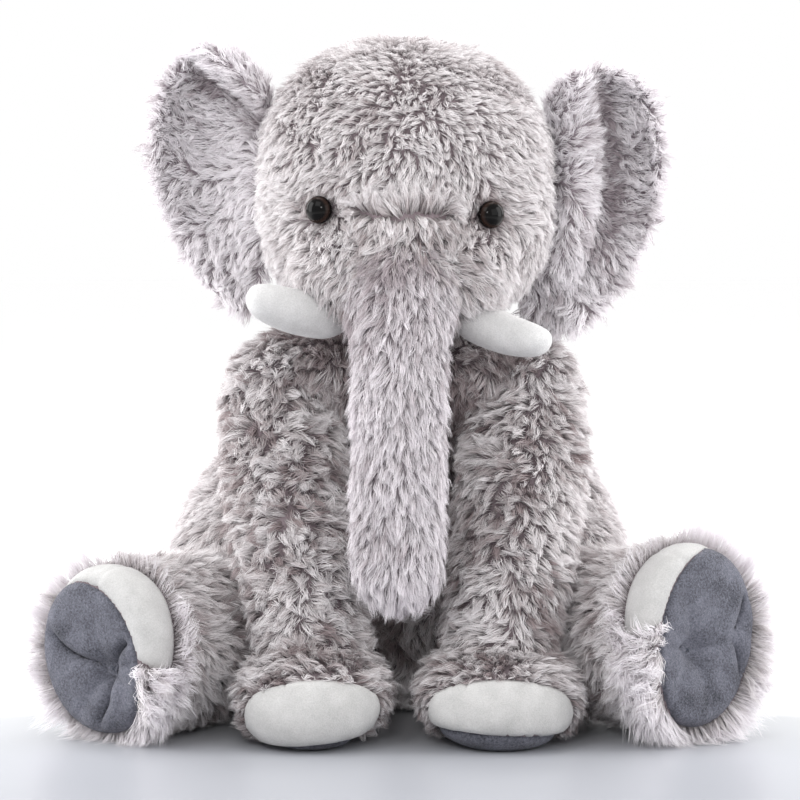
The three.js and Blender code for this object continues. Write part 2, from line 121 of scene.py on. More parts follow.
class Finish:
    """A node material in the making, with its principled shader."""

    def __init__(self, name, **settings):
        self.material = bpy.data.materials.new(name)
        self.material.use_nodes = True
        self.nodes = self.material.node_tree.nodes
        self.shader = self.nodes["Principled BSDF"]
        self.set(self.shader, **settings)

    def set(self, node, **settings):
        """Sets a node's inputs. An underscore in a setting stands for a space in the input's name."""
        for setting, value in settings.items():
            node.inputs[setting.replace("_", " ")].default_value = value

    def add(self, kind, **settings):
        node = self.nodes.new("ShaderNode" + kind)
        self.set(node, **settings)
        return node

    def link(self, source, output, node, socket):
        self.material.node_tree.links.new(source.outputs[output], node.inputs[socket])

    def object_place(self, node):
        """Lays a texture by the place on the object."""
        self.link(self.add("TexCoord"), "Object", node, "Vector")

    def uv_parts(self):
        """A node that splits the piece's UV layer into X and Y."""
        uv = self.add("UVMap")
        uv.uv_map = "OFBake"
        split = self.add("SeparateXYZ")
        self.link(uv, "UV", split, 0)
        return split

    def ramp(self, source, output, stops):
        """A colour for each value from 0 to 1, from stops of a place and a colour."""
        made = self.add("ValToRGB")
        elements = made.color_ramp.elements
        while len(elements) < len(stops):
            elements.new(0.5)
        for element, (place, colour) in zip(elements, stops):
            element.position = place
            element.color = colour
        self.link(source, output, made, "Fac")
        return made


def fur_material(name, *colours):
    """Pile whose colour runs from root to tip along V, and from shaded to pale tufts along U.

    The five colours are the root, the middle, the tip, a shaded tuft and a pale tuft. The dark root is
    painted shade, standing for the shadow down in the gaps between tufts. Besides each tuft's own random
    tone, the grooms' tones along U carry painted shade and painted light.
    """
    root, middle, tip, shaded, pale = (srgb(*c) for c in colours)
    f = Finish(name, Roughness=0.75, Specular_IOR_Level=0.25, Sheen_Weight=0.25, Sheen_Roughness=0.5)
    split = f.uv_parts()
    # Root to tip: the darker roots are painted shade between the tufts.
    along = f.ramp(split, "Y", [(0.0, root), (0.45, middle), (1.0, tip)])
    tone = f.ramp(split, "X", [(0.0, shaded), (0.5, (0.93, 0.93, 0.93, 1)), (1.0, pale)])
    mix = f.add("Mix")
    mix.data_type = "RGBA"
    mix.blend_type = "MULTIPLY"
    f.set(mix, Factor=1.0)
    f.link(along, "Color", mix, "A")
    f.link(tone, "Color", mix, "B")
    f.link(mix, "Result", f.shader, "Base Color")
    through = f.add("BsdfTranslucent")
    f.link(mix, "Result", through, "Color")
    both = f.add("MixShader", Fac=0.3)
    f.link(f.shader, "BSDF", both, 1)
    f.link(through, "BSDF", both, 2)
    f.link(both, "Shader", f.nodes["Material Output"], "Surface")
    return f.material


def cloth_material(name, low, high, scale, bump, sheen):
    """Short brushed fabric: mottled colour at two scales, a fine grain in the surface and a soft sheen."""
    f = Finish(name, Roughness=0.92, Specular_IOR_Level=0.2, Sheen_Weight=sheen, Sheen_Roughness=0.45)
    fine = f.add("TexNoise", Scale=scale, Detail=6, Roughness=0.7)
    f.object_place(fine)
    broad = f.add("TexNoise", Scale=scale / 14, Detail=3)
    f.object_place(broad)
    part = f.add("Math")
    part.operation = "MULTIPLY"
    f.link(broad, "Fac", part, 0)
    part.inputs[1].default_value = 0.35
    both = f.add("Math")
    both.operation = "MULTIPLY_ADD"
    f.link(fine, "Fac", both, 0)
    both.inputs[1].default_value = 0.65
    f.link(part, 0, both, 2)
    tone = f.ramp(both, 0, [(0.3, srgb(*low)), (0.7, srgb(*high))])
    f.link(tone, "Color", f.shader, "Base Color")
    height = f.add("Bump", Strength=bump, Distance=0.0006)
    f.link(fine, "Fac", height, "Height")
    f.link(height, "Normal", f.shader, "Normal")
    return f.material


def grained_material(name, texture, shine, grain, stops):
    """A smooth material with a fine texture in its colour. shine and grain are the two nodes' settings."""
    f = Finish(name, **shine)
    fine = f.add(texture, **grain)
    f.object_place(fine)
    tone = f.ramp(fine, "Fac", stops)
    f.link(tone, "Color", f.shader, "Base Color")
    return f.material


# Each pile's first colour, its root, is darker as painted shade between the tufts.
GREY_FUR = fur_material(
    "grey_fur", (156, 150, 150), (226, 221, 222), (255, 253, 254), (170, 156, 156), (255, 255, 255)
)
PALE_FUR = fur_material(
    "pale_fur", (158, 152, 154), (222, 217, 220), (250, 247, 250), (200, 192, 194), (252, 251, 252)
)
# A brighter copy of the pile, with lighter roots: partly painted light, its extra brightness standing in for
# some of the side light on the ears.
EAR_FUR = fur_material(
    "ear_fur", (202, 196, 198), (244, 240, 243), (255, 253, 255), (176, 166, 169), (255, 255, 255)
)
# The backings are darker than their pile: painted shade, standing for the shadow seen between the tufts.
GREY_BACKING = cloth_material("grey_backing", (96, 84, 88), (140, 128, 132), 900, 0.6, 0.1)
PALE_BACKING = cloth_material("pale_backing", (110, 100, 105), (160, 150, 156), 900, 0.6, 0.1)
WHITE_FLEECE = cloth_material("white_fleece", (162, 161, 160), (200, 199, 198), 1100, 1.0, 0.2)
TUSK_FLEECE = cloth_material("tusk_fleece", (176, 175, 175), (216, 215, 215), 1100, 1.0, 0.2)
SLATE_FLEECE = cloth_material("slate_fleece", (4, 4, 8), (130, 131, 143), 780, 1.8, 0.1)
THREAD = cloth_material("thread", (44, 46, 56), (84, 88, 98), 3000, 0.8, 0.2)

# ---- surfaces


def curve(rows, per):
    """A smooth line through rows of numbers, with per steps between one row and the next."""
    p = np.array(rows, float)
    ends = np.vstack([2 * p[0] - p[1], p, 2 * p[-1] - p[-2]])
    out = []
    for i in range(len(p) - 1):
        a, b, c, d = ends[i : i + 4]
        for t in np.linspace(0, 1, per, endpoint=False):
            bent = 2 * b + (c - a) * t + (2 * a - 5 * b + 4 * c - d) * t**2
            out.append(0.5 * (bent + (3 * b - a - 3 * c + d) * t**3))
    out.append(p[-1])
    return np.array(out)


def axes_along(start, end, up=(0, 0, 1)):
    """Rows x, y, z of a frame whose z runs from start to end, with y as near to up as it can be."""
    z = np.array(end, float) - np.array(start, float)
    z /= np.linalg.norm(z)
    x = np.cross(np.array(up, float), z)
    x /= np.linalg.norm(x)
    return np.array([x, np.cross(z, x), z])


UPRIGHT = np.eye(3)


def quads(rings, around):
    """The faces between each ring of points and the next, each with its ring's number."""
    for r in range(rings):
        for k in range(around):
            n = (k + 1) % around
            yield r, (r * around + k, r * around + n, (r + 1) * around + n, (r + 1) * around + k)


def loft(stations, inset=0.0, origin=(0, 0, 0), axes=UPRIGHT, around=40, per=4, full_length=False):
    """Closed oval rings strung along the frame's z, in mm.

    A station is [height, half width x, half width y, centre x, centre y], and the centre may be left out.
    """
    rows = [list(s) + [0.0] * (5 - len(s)) for s in stations]
    s = curve(rows, per)
    low, high = rows[0][0], rows[-1][0]
    short = 0 if full_length else inset
    z = low + short + (s[:, 0] - low) * (high - low - 2 * short) / (high - low)
    a = np.maximum(s[:, 1] - inset, 0.3)
    b = np.maximum(s[:, 2] - inset, 0.3)
    turn = np.linspace(0, 2 * np.pi, around, endpoint=False)
    x = s[:, 3, None] + a[:, None] * np.cos(turn)
    y = s[:, 4, None] + b[:, None] * np.sin(turn)
    local = np.stack([x, y, np.repeat(z[:, None], around, 1)], -1).reshape(-1, 3)
    points = local @ axes + np.array(origin, float)
    rings = len(z)
    faces = [face for _, face in quads(rings - 1, around)]
    faces.append(tuple(range(around))[::-1])
    faces.append(tuple(range((rings - 1) * around, rings * around)))
    return points, faces


def egg(centre, radii):
    """An upright closed oval body in mm."""
    a, b, c = radii
    rows = [[c * -math.cos(t), a * math.sin(t), b * math.sin(t)] for t in np.linspace(0, math.pi, 9)]
    return loft(rows, 0, centre, around=28, per=2)


class Surface:
    """A triangle mesh in metres, in the row frame, with a normal at each vertex."""

    def __init__(self, points, triangles, normals=None):
        self.points = points
        self.triangles = triangles
        self.normals = normals if normals is not None else self.made_normals()

    def made_normals(self):
        a, b, c = (self.points[self.triangles[:, k]] for k in range(3))
        face = np.cross(b - a, c - a)
        out = np.zeros_like(self.points)
        for k in range(3):
            np.add.at(out, self.triangles[:, k], face)
        return out / np.maximum(np.linalg.norm(out, axis=1), 1e-12)[:, None]


def melt(lofts, voxel, smooth, sculpt=None):
    """Joins closed lofts, given in mm, into one smooth closed surface in metres."""
    mesh = bpy.data.meshes.new("melt")
    points, faces, base = [], [], 0
    for p, f in lofts:
        points.append((p + SHIFT) * MM)
        faces += [tuple(i + base for i in face) for face in f]
        base += len(p)
    mesh.from_pydata(np.vstack(points).tolist(), [], faces)
    obj = bpy.data.objects.new("melt", mesh)
    scene.collection.objects.link(obj)
    remesh = obj.modifiers.new("remesh", "REMESH")
    remesh.mode = "VOXEL"
    remesh.voxel_size = voxel * MM
    soft = obj.modifiers.new("soft", "SMOOTH")
    soft.factor = 0.5
    soft.iterations = smooth
    surface = surface_of(obj)
    bpy.data.objects.remove(obj)
    bpy.data.meshes.remove(mesh)
    if sculpt:
        surface.points = sculpt(surface.points / MM - SHIFT, surface.normals)
        surface.points = (surface.points + SHIFT) * MM
        surface.normals = surface.made_normals()
    return surface


def surface_of(obj):
    """An object's surface with its modifiers applied."""
    graph = bpy.context.evaluated_depsgraph_get()
    made = obj.evaluated_get(graph)
    mesh = made.to_mesh()
    mesh.calc_loop_triangles()
    co = np.empty(len(mesh.vertices) * 3)
    mesh.vertices.foreach_get("co", co)
    tri = np.empty(len(mesh.loop_triangles) * 3, np.int32)
    mesh.loop_triangles.foreach_get("vertices", tri)
    made.to_mesh_clear()
    return Surface(co.reshape(-1, 3), tri.reshape(-1, 3))


def clip(surface, field):
    """What is left of a surface where the field, one number for each vertex, is above 0."""
    points = list(map(tuple, surface.points))
    normals = list(map(tuple, surface.normals))
    cut = {}

    def between(i, j):
        key = (min(i, j), max(i, j))
        if key not in cut:
            t = field[i] / (field[i] - field[j])
            cut[key] = len(points)
            points.append(tuple(surface.points[i] * (1 - t) + surface.points[j] * t))
            normals.append(tuple(surface.normals[i] * (1 - t) + surface.normals[j] * t))
        return cut[key]

    inside = field[surface.triangles] > 0
    count = inside.sum(1)
    kept = [tuple(t) for t in surface.triangles[count == 3]]
    crossed = (count > 0) & (count < 3)
    for tri, ins in zip(surface.triangles[crossed], inside[crossed]):
        ring = []
        for k in range(3):
            i, j = tri[k], tri[(k + 1) % 3]
            if ins[k]:
                ring.append(i)
            if ins[k] != ins[(k + 1) % 3]:
                ring.append(between(i, j))
        for k in range(1, len(ring) - 1):
            kept.append((ring[0], ring[k], ring[k + 1]))
    kept = np.array(kept, np.int32)
    used, index = np.unique(kept, return_inverse=True)
    return Surface(np.array(points)[used], index.reshape(-1, 3).astype(np.int32), np.array(normals)[used])


def add_mesh(name, points, triangles, material, uv=None):
    """A new object of triangles, in metres, with one UV pair for each point."""
    mesh = bpy.data.meshes.new(name)
    count = len(triangles)
    mesh.vertices.add(len(points))
    mesh.vertices.foreach_set("co", np.asarray(points, np.float32).ravel())
    mesh.loops.add(count * 3)
    mesh.loops.foreach_set("vertex_index", np.asarray(triangles, np.int32).ravel())
    mesh.polygons.add(count)
    mesh.polygons.foreach_set("loop_start", np.arange(0, count * 3, 3, dtype=np.int32))
    mesh.polygons.foreach_set("use_smooth", np.ones(count, bool))
    if uv is not None:
        layer = mesh.uv_layers.new(name="OFBake")
        layer.data.foreach_set("uv", np.asarray(uv, np.float32)[np.asarray(triangles).ravel()].ravel())
    mesh.update()
    mesh.validate()
    obj = bpy.data.objects.new(name, mesh)
    scene.collection.objects.link(obj)
    mesh.materials.append(material)
    return obj


# ---- pile

rng = np.random.default_rng(75)


def unit(v):
    return v / np.maximum(np.linalg.norm(v, axis=-1, keepdims=True), 1e-9)


class Waves:
    """Smooth noise in space, about -1 to 1, with features of the given size in mm."""

    def __init__(self, size, seed, terms=14):
        r = np.random.default_rng(seed)
        self.k = unit(r.normal(size=(terms, 3))) * (2 * np.pi / (size * r.uniform(0.7, 1.6, (terms, 1))))
        self.phase = r.uniform(0, 2 * np.pi, terms)

    def __call__(self, p):
        return np.sin(p @ self.k.T + self.phase).sum(1) / math.sqrt(len(self.phase)) * 1.2


SWIRL = Waves(70, 3)
RUFFLE = Waves(22, 4)
PATCHY = Waves(45, 5)

# No hair reaches further out than this to either side, in mm.
WIDEST = 246
# A hair starts this far below the skin, in mm.
ROOTED = 0.8


def triangle_areas(corners):
    return np.linalg.norm(np.cross(corners[:, 1] - corners[:, 0], corners[:, 2] - corners[:, 0]), axis=1) / 2


def scatter(surface, weight, count):
    """Evenly spread points on a surface: positions in mm from the design centre, and normals."""
    corners = surface.points[surface.triangles]
    total = np.cumsum(triangle_areas(corners) * weight)
    at = (np.arange(count) + rng.random(count)) / count * total[-1]
    pick = np.minimum(np.searchsorted(total, at), len(total) - 1)
    a, b = rng.random((2, count))
    flip = a + b > 1
    a[flip], b[flip] = 1 - a[flip], 1 - b[flip]
    share = np.stack([1 - a - b, a, b], 1)[:, :, None]
    p = (corners[pick] * share).sum(1) / MM - SHIFT
    n = unit((surface.normals[surface.triangles[pick]] * share).sum(1))
    return p, n


def turned(t, n, angle):
    """Directions t turned about the normals n."""
    return t * np.cos(angle)[:, None] + np.cross(n, t) * np.sin(angle)[:, None]


def grow(
    surface,
    groom,
    per_mm2=1.3,
    tuft=3.9,
    width=0.44,
    clump=0.72,
    swirl=0.35,
    ruffle=0.45,
    stray=0.35,
    curl=0.12,
    variation=0.13,
    patchy=0.16,
    floor=0.3,
):
    """Pile on a surface: the hairs' points in mm, five to a hair, and their UVs.

    groom(p, n) gives the lie, the length in mm, the lift from the skin in radians, the share of full density
    and the tone. Hairs gather into tufts about tuft mm apart, as far as clump says.
    """
    centre = surface.points[surface.triangles].mean(1) / MM - SHIFT
    flat = unit(surface.normals[surface.triangles].mean(1))
    weight = np.clip(groom(centre, flat)[3], 0, None)
    covered = float((triangle_areas(surface.points[surface.triangles] / MM) * weight).sum())
    strands = int(covered * per_mm2)
    tufts = max(int(covered / (tuft * tuft * 0.8)), 4)

    tc, tn = scatter(surface, weight, tufts)
    lie, length, lift, _, tone = groom(tc, tn)
    lie = unit(lie - tn * (lie * tn).sum(1)[:, None])
    angle = swirl * SWIRL(tc) + ruffle * RUFFLE(tc) + rng.normal(0, stray, tufts)
    lie = turned(lie, tn, angle)
    raised = lift + rng.normal(0, 0.16, tufts)
    size = length * rng.uniform(0.78, 1.18, tufts)
    reach = tn * np.sin(raised)[:, None] + lie * np.cos(raised)[:, None]
    tip = tc + reach * size[:, None]
    shade = np.clip(tone + patchy * PATCHY(tc) + rng.normal(0, variation, tufts), 0, 1)

    tree = kdtree.KDTree(tufts)
    for i, p in enumerate(tc):
        tree.insert(p, i)
    tree.balance()
    p, n = scatter(surface, weight, strands)
    near = np.fromiter((tree.find(q)[1] for q in p), np.int64, strands)
    own = size[near] * rng.uniform(0.82, 1.1, strands)
    loose = unit(lie[near] + rng.normal(0, 0.22, (strands, 3)))
    rise = raised[near] + rng.normal(0, 0.12, strands)
    free = p + (n * np.sin(rise)[:, None] + loose * np.cos(rise)[:, None]) * own[:, None]
    grip = np.clip(clump + rng.normal(0, 0.12, strands), 0, 0.97)[:, None]
    end = free * (1 - grip) + (tip[near] + rng.normal(0, 0.35, (strands, 3))) * grip
    side = np.cross(tn[near], lie[near])
    bend = side * (rng.normal(0, curl, strands) * own)[:, None]
    halfway = n * (np.sin(rise) * 0.5 + 0.22)[:, None] + loose * (np.cos(rise) * 0.36)[:, None]
    knee = p + halfway * own[:, None] + bend
    mid = 0.25 * p + 0.5 * knee + 0.25 * end

    along = unit(end - p)
    across = unit(np.cross(along, n) + 1e-6)
    roll = rng.uniform(-1.0, 1.0, strands)
    across = across * np.cos(roll)[:, None] + np.cross(along, across) * np.sin(roll)[:, None]
    half = across * (width / 2 * rng.uniform(0.8, 1.2, strands))[:, None]
    root = p - n * ROOTED
    points = np.stack([root - half, root + half, mid - half * 0.85, mid + half * 0.85, end], 1)
    points[:, :, 0] = np.clip(points[:, :, 0], -WIDEST, WIDEST)
    points[:, :, 2] = np.maximum(points[:, :, 2], floor)
    value = np.clip(shade[near] + rng.normal(0, 0.1, strands), 0.01, 0.99)
    uv = np.zeros((strands, 5, 2))
    uv[:, :, 0] = value[:, None]
    uv[:, :, 1] = [0.02, 0.02, 0.5, 0.5, 0.98]
    return points, uv


# The most hairs in one mesh, which keeps each below the size that an export keeps whole.
LIMIT = 60000


def add_pile(name, pile, material, place):
    """Makes the pile's meshes. place(obj) says what they ride on."""
    points, uv = pile
    order = np.lexsort((points[:, 0, 2] // 40, points[:, 0, 0] > 0))
    points, uv = points[order], uv[order]
    chunks = max(1, math.ceil(len(points) / LIMIT))
    for k, part in enumerate(np.array_split(np.arange(len(points)), chunks)):
        base = np.arange(len(part))[:, None] * 5
        tri = np.stack([base + [0, 1, 3], base + [0, 3, 2], base + [2, 3, 4]], 1).reshape(-1, 3)
        obj = add_mesh(
            f"{name}_{k + 1}",
            (points[part].reshape(-1, 3) + SHIFT) * MM,
            tri,
            material,
            uv[part].reshape(-1, 2),
        )
        place(obj)


def riding(body):
    return lambda obj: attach(obj, body)


def bending():
    """Bakes a piece's transform into its mesh, leaving it where it lies in the row frame."""
    return lambda obj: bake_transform(obj)


# The lowest that the fabric lies over the floor, in metres.
CONTACT = 0.0004


def skin(name, surface, material, place, replaced):
    """A piece of fabric that stands for the replaced CAD nodes."""
    points = surface.points.copy()
    points[:, 2] = np.maximum(points[:, 2], CONTACT)
    obj = add_mesh(name, points, surface.triangles, material)
    place(obj)
    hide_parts(*replaced)


def plush(part, surface, material, place):
    """The backing of a stuffed part, which stands for its CAD skin and its stuffing."""
    skin(f"{part}_plush", surface, material, place, [f"{part}_skin", f"{part}_stuffing"])


# What differs between the toy's own right and left, in mm and radians. A crease is its turn in degrees, its
# spread, its depth and its fade. A fold is a line from one point of the sole to another, and its bow.
SIDES = {
    "right": dict(
        sign=-1, arm_pile=dict(tuft=4.8, ruffle=0.9, stray=0.6, curl=0.22, variation=0.24),
        shoulder=(-77.5, -20, 215), foot=-52, foot_half=50, hip=(-108, -12, 58),
        sole=(-190, -128, 58), sole_half=56, tusk=((-44, -92, 268), (-94, -128, 281)),
        tusk_radius=15.5, ear=(-124, -8, 352), ear_roll=0.0, eye=(-50, 334, -0.42),
        sole_shift=(-5, -6), sole_size=(38, 50), sole_roll=0.38, band=((0.457, 0.89), 20.5),
        dimple=(11, -6),
        creases=[
            (158, 5, 6, 34), (48, 4, 6, 26), (16, 3, 4, 22), (-30, 4, 5, 26), (-78, 4, 5, 30),
            (-125, 5, 5, 30), (100, 4, 2, 20),
        ],
        folds=[(-36, 22, 4, -2, -0.14), (12, -8, 4, -44, 0.1), (16, -2, 36, 16, 0.1)], fold_side=1,
        toe_bottom=(0.5, 0.1), foot_roll=-0.10, patch_shift=8,
    ),
    "left": dict(
        sign=1, arm_pile=dict(tuft=4.4, ruffle=0.5, stray=0.35, variation=0.22),
        shoulder=(82.5, -20, 215), foot=62, foot_half=53, hip=(108, -12, 60), sole=(191, -128, 66),
        sole_half=62, tusk=((46, -92, 266), (94, -128, 251)), tusk_radius=14.0, ear=(132, -8, 344),
        ear_roll=0.06, eye=(57, 331, 0.46), sole_shift=(-2, 0), sole_size=(38, 56),
        sole_roll=0.225, band=((0.588, 0.808), 32), dimple=(8.4, -7),
        creases=[
            (176, 4, 4, 22), (8, 4, 6, 26), (38, 4, 3, 26), (-55, 5, 3.5, 26), (-105, 5, 4, 26),
            (75, 5, 3, 26),
        ],
        folds=[(-34, 34, -20, 0, -0.1), (-20, 0, -26, -38, -0.12)], fold_side=-1,
        toe_bottom=(15.0, -0.06), foot_roll=0.03, patch_shift=0,
    ),
}

# ---- skins

HEAD = [
    [256, 0, 0, 3, -50], [260, 40, 33, 3, -48], [272, 70, 55, 3, -46], [292, 87, 73, 4, -44],
    [320, 95, 83, 4, -41], [350, 96, 87, 4, -38], [382, 94, 86, 4, -35], [409, 83, 76, 3, -32],
    [431, 62, 57, 2, -30], [443, 33, 31, 2, -30], [446, 0, 0, 2, -30],
]
TORSO = [
    [0, 96, 55, 0, 50], [8, 128, 73, 0, 50], [30, 149, 84, 0, 50], [65, 158, 87, 0, 50],
    [105, 156, 85, 0, 49], [140, 142, 75, 0, 51], [170, 117, 60, 0, 50], [196, 82, 56, 0, 35],
    [215, 62, 60, 0, 10], [235, 56.5, 56.5, 0, 8], [255, 44.7, 44.7, 0, 8], [270, 24, 24, 0, 8],
    [275, 0, 0, 0, 8],
]


def smoothstep(a, b, v):
    """0 at a, 1 at b, and smooth between them."""
    t = np.clip((v - a) / (b - a), 0, 1)
    return t * t * (3 - 2 * t)


def eye_seat(side):
    """Where an eye sits on the head, in mm, and the way it looks."""
    x, z, out = side["eye"]
    face = -40 - 85 * math.sqrt(1 - ((x - 4) / 95) ** 2)
    return np.array([x, face + 2, z]), unit(np.array([math.sin(out), -math.cos(out), 0.02]))


def toe_field(side, p):
    """Above 0 on a front foot's bare front, in mm: the white toe panel and the slate that shows below it."""
    x, y, z = p.T
    u = (x - side["foot"] - side["patch_shift"]) / (side["foot_half"] * 0.98)
    return (-137 - y) - 0.5 * (z - 19) - 6 * u**2 - 12 * smoothstep(32, 50, z)


def slate_field(side, p):
    """Above 0 below the seam where a front foot's slate sole begins, in mm."""
    x, y, z = p.T
    base, slope = side["toe_bottom"]
    front = smoothstep(-118, -142, y)
    across = x - (side["foot"] - side["foot_half"])
    seam = np.maximum(base + slope * across, 3.5) * front + 6.5 * (1 - front)
    return seam - z


def sculpt_head(p, n):
    """Presses the head in round each eye."""
    for side in SIDES.values():
        seat, _ = eye_seat(side)
        far = np.linalg.norm((p - seat) * [1, 0.6, 1], axis=1)
        p = p + n * (-4.0 * np.exp(-((far / 11) ** 2)))[:, None]
    return p


head = melt(
    [
        loft(HEAD, 6),
        egg((1, -99, 290), (42, 32, 36)),
        egg((3, -112, 318), (25, 17, 26)),
        egg((-34, -98, 300), (30, 22, 30)),
        egg((40, -98, 300), (30, 22, 30)),
        egg((3, -12, 302), (76, 60, 48)),
    ],
    4.5,
    9,
    sculpt_head,
)
torso = melt(
    [
        loft(TORSO, 6),
        egg((-52, -10, 226), (44, 40, 30)),
        egg((56, -10, 226), (46, 40, 30)),
        egg((0, 16, 236), (64, 44, 42)),
    ],
    5,
    8,
)

TRUNK_UPPER = [
    [188, 29.5, 29.5, 0, -132], [200, 30, 29.5, 0, -131], [218, 30, 30, 0, -129],
    [250, 31, 29, 0, -125], [272, 36, 31, 1, -117], [290, 38, 33, 1, -110], [308, 31, 29, 1, -108],
    [320, 17, 17, 1, -107], [325, 0, 0, 1, -107],
]
TRUNK_LOWER = [
    [84, 0, 0, -1, -136], [87, 13, 12, -1, -136], [96, 24, 22, -1, -136], [114, 29.5, 27, -1, -136],
    [150, 30, 28, -1, -135], [188, 30, 29, 0, -132], [204, 29, 29, 0, -131], [216, 22, 22, 0, -130],
    [221, 0, 0, 0, -130],
]
trunk_upper = melt([loft(TRUNK_UPPER, 5)], 4, 4)
trunk_lower = melt([loft(TRUNK_LOWER, 5)], 4, 4)


def sole_place(side, p):
    """Where a point is on a hind foot: inward and up from the sole's centre, and out along the leg, in mm."""
    local = (p - np.array(side["hip"], float)) @ side["leg_axes"].T
    inward = -side["sign"] * local[:, 0] - side["sole_shift"][0]
    return inward, local[:, 1] - side["sole_shift"][1], local[:, 2]


def sole_field(side, p):
    """Above 0 on the slate sole of a hind foot, in mm from its edge."""
    u, v, out = sole_place(side, p)
    c, s = math.cos(side["sole_roll"]), math.sin(side["sole_roll"])
    a, b = side["sole_size"]
    ring = np.sqrt(((u * c + v * s) / a) ** 2 + ((v * c - u * s) / b) ** 2)
    dimpled = 14 * np.exp(-((ring / 0.7) ** 4))
    return np.minimum((1 - ring) * a, (out - side["leg_reach"] + 11 + dimpled) * 1.2)


def band_field(side, p):
    """Above 0 on the white toe band of a hind foot and under it, in mm from the band's outer seam."""
    u, v, out = sole_place(side, p)
    (nu, nv), offset = side["band"]
    above = u * nu + v * nv - offset
    return np.minimum(above * 0.8, out - (side["leg_reach"] - 27) - 0.004 * (u * nv - v * nu) ** 2)


def sculpt_sole(side):
    """The needle dimple in a hind sole, the creases that run out from it and the folds across it."""

    def sculpt(p, n):
        u, v, out = sole_place(side, p)
        reach = side["leg_reach"]
        face = smoothstep(reach - 14, reach - 5, out) * smoothstep(0, 7, sole_field(side, p))
        du, dv = u - side["dimple"][0], v - side["dimple"][1]
        far = np.hypot(du, dv)
        angle = np.arctan2(dv, du)
        depth = 8.0 * np.exp(-((far / 9) ** 2)) + 3.5 * np.exp(-((far / 22) ** 2))
        for turn, spread, strength, fade in side["creases"]:
            off = np.abs((angle - math.radians(turn) + np.pi) % (2 * np.pi) - np.pi)
            wide = off * far / spread
            depth = depth + strength * np.exp(-(wide**2)) * np.exp(-far / fade) * smoothstep(2, 9, far)
        for u0, v0, u1, v1, bow in side["folds"]:
            d = np.array([u1 - u0, v1 - v0], float)
            t = np.clip(((u - u0) * d[0] + (v - v0) * d[1]) / (d @ d), 0, 1)
            cu = u0 + t * d[0] - d[1] * bow * np.sin(np.pi * t)
            cv = v0 + t * d[1] + d[0] * bow * np.sin(np.pi * t)
            gap = (u - cu) * side["fold_side"]
            away = np.hypot(u - cu, v - cv)
            ridge = 2.2 * np.exp(-(((away - 7) / 4) ** 2)) * (gap > 0)
            valley = 5.5 * np.exp(-((away / 3.2) ** 2))
            depth = depth + np.sin(np.pi * np.clip(t, 0.02, 0.98)) * (valley - ridge)
        return p - side["leg_axes"][2] * (depth * face)[:, None]

    return sculpt


def arm_surface(side):
    sx, sy, sz = side["shoulder"]
    foot, half = side["foot"], side["foot_half"]

    def lean(t):
        return sx + (foot - sx) * t

    column = [
        [14, 0, 0, lean(1), -108], [18, 24, 24, lean(1), -107], [34, 35, 36, lean(0.97), -103],
        [62, 38, 38, lean(0.85), -97], [95, 40, 39, lean(0.6), -86], [130, 42, 40, lean(0.35), -70],
        [165, 42.5, 39.5, lean(0.15), -52], [190, 41.5, 39.5, lean(0.05), -36],
        [sz, 40, 40, sx, sy], [sz + 20, 35, 35, sx, sy], [sz + 34, 20, 20, sx, sy],
        [sz + 40, 0, 0, sx, sy],
    ]
    stations = [
        [0, 0, 0, 0, 32], [3, 22, 16, 0, 32], [14, half * 0.72, 28, 0, 31],
        [38, half * 0.96, 36, 0, 31], [64, half, 36, 0, 29], [88, half * 0.92, 32, 0, 27],
        [103, half * 0.7, 25, 0, 24], [111, half * 0.42, 15, 0, 21], [114, 0, 0, 0, 20],
    ]
    toeward = axes_along((foot, -62, 0), (foot, -160, 0), (side["foot_roll"], 0, 1))
    return melt([loft(column, 6), loft(stations, 6, (foot, -62, 0), toeward)], 4, 5)


def leg_surface(side):
    """A hind leg. It also notes the leg's own axes and its reach from hip to sole."""
    hip, sole = np.array(side["hip"], float), np.array(side["sole"], float)
    far = np.linalg.norm(sole - hip)
    tall = side["sole_half"]
    stations = [
        [-44, 0, 0], [-42, 18, 18], [-27, 41, 41], [0, 49, 49], [25, 49, 53, 0, -3],
        [far * 0.55, 50, 56, 0, -3], [far * 0.78, 51, tall - 1, 0, -1], [far - 16, 51, tall],
        [far - 7, 51, tall - 1], [far - 2.5, 48, tall - 4], [far - 0.5, 40, tall - 12],
        [far, 20, tall - 34], [far, 0, 0],
    ]
    side["leg_axes"] = axes_along(hip, sole)
    side["leg_reach"] = far
    blank = loft(stations, 5, hip, side["leg_axes"], full_length=True)
    return melt([blank], 2.4, 3, sculpt_sole(side))


arms = {name: arm_surface(side) for name, side in SIDES.items()}
legs = {name: leg_surface(side) for name, side in SIDES.items()}

# ---- pile directions


def const(p, value):
    return np.full(len(p), float(value))


DOWN = np.array([0.0, 0.0, -1.0])
# The height of the parting across the bridge of the trunk, in mm.
PARTING = 332


